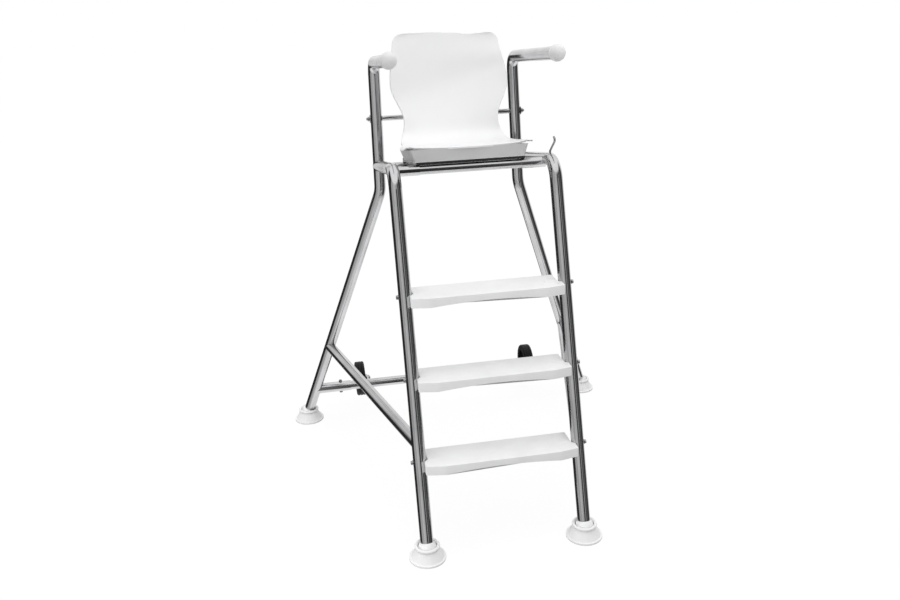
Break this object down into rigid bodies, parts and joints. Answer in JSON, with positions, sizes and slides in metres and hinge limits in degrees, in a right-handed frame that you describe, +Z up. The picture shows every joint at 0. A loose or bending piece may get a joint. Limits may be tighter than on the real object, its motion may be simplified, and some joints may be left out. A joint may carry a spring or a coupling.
{
  "type": "lifeguard chair",
  "caption": "Tall lifeguard chair of bent steel tube with ladder treads, a waisted moulded seat, armrests with knobs, ball feet and rear transport wheels.",
  "frame": {"origin": "middle of the footprint on the floor, under the chair", "axes": "+Z up, -Y towards the front with the ladder, +X to the right as seen from the front"},
  "size_m": [1.36, 1.2936, 1.61],
  "materials": {
    "frame_steel": "mirror-polished stainless steel",
    "bar_steel": "satin stainless steel",
    "bolt_steel": "plain stainless steel",
    "step_plastic": "satin white moulding",
    "seat_plastic": "smooth white moulding",
    "foot_plastic": "smooth white moulding",
    "tray_plastic": "satin light grey",
    "black_steel": "satin black",
    "wheel_rubber": "matte black"
  },
  "bodies": {
    "frame": {"left_stile": "frame_steel", "right_stile": "frame_steel", "left_post": "frame_steel", "right_post": "frame_steel", "left_leg": "frame_steel", "right_leg": "frame_steel", "left_brace": "frame_steel", "right_brace": "frame_steel", "front_stub_left": "frame_steel", "front_stub_right": "frame_steel", "rear_stub_left": "frame_steel", "rear_stub_right": "frame_steel", "low_stub_left": "frame_steel", "low_stub_right": "frame_steel", "tie_sleeve": "frame_steel", "left_wheel_bracket": "frame_steel", "right_wheel_bracket": "frame_steel", "front_cross_tube": "bar_steel", "rear_cross_tube": "bar_steel", "lower_bar": "bar_steel", "cross_bolts": "bolt_steel", "tie_rod": "bolt_steel", "tie_nuts": "bolt_steel", "step_bolts": "bolt_steel", "seat_bolts": "bolt_steel", "left_axle": "bolt_steel", "right_axle": "bolt_steel", "towel_hook": "bolt_steel", "step_top_tread": "step_plastic", "step_middle_tread": "step_plastic", "step_bottom_tread": "step_plastic", "seat_shell": "seat_plastic", "left_knob": "seat_plastic", "right_knob": "seat_plastic", "front_left_ball": "foot_plastic", "front_right_ball": "foot_plastic", "rear_left_ball": "foot_plastic", "rear_right_ball": "foot_plastic", "seat_tray": "tray_plastic", "seat_rail_left": "black_steel", "seat_rail_right": "black_steel", "seat_front_bar": "black_steel", "seat_rear_bar": "black_steel"},
    "left_wheel": {"left_wheel": "wheel_rubber"},
    "right_wheel": {"right_wheel": "wheel_rubber"},
    "front_left_foot": {"front_left_foot": "foot_plastic"},
    "front_right_foot": {"front_right_foot": "foot_plastic"},
    "rear_left_foot": {"rear_left_foot": "foot_plastic"},
    "rear_right_foot": {"rear_right_foot": "foot_plastic"}
  },
  "joints": [
    {"name": "left_wheel_spin", "type": "hinge", "parent": "frame", "child": "left_wheel", "pos_m": [-0.381, 0.57181, 0.132], "axis": [1, 0, 0], "continuous": true},
    {"name": "right_wheel_spin", "type": "hinge", "parent": "frame", "child": "right_wheel", "pos_m": [0.381, 0.57181, 0.132], "axis": [1, 0, 0], "continuous": true},
    {"name": "front_left_foot_swivel", "type": "hinge", "parent": "frame", "child": "front_left_foot", "pos_m": [-0.268, -0.58581, 0.036], "axis": [1, 0, 0], "range_deg": [-5, 5]},
    {"name": "front_right_foot_swivel", "type": "hinge", "parent": "frame", "child": "front_right_foot", "pos_m": [0.268, -0.58581, 0.036], "axis": [1, 0, 0], "range_deg": [-5, 5]},
    {"name": "rear_left_foot_swivel", "type": "hinge", "parent": "frame", "child": "rear_left_foot", "pos_m": [-0.619, 0.49971, 0.036], "axis": [1, 0, 0], "range_deg": [-5, 5]},
    {"name": "rear_right_foot_swivel", "type": "hinge", "parent": "frame", "child": "rear_right_foot", "pos_m": [0.619, 0.49971, 0.036], "axis": [1, 0, 0], "range_deg": [-5, 5]}
  ]
}
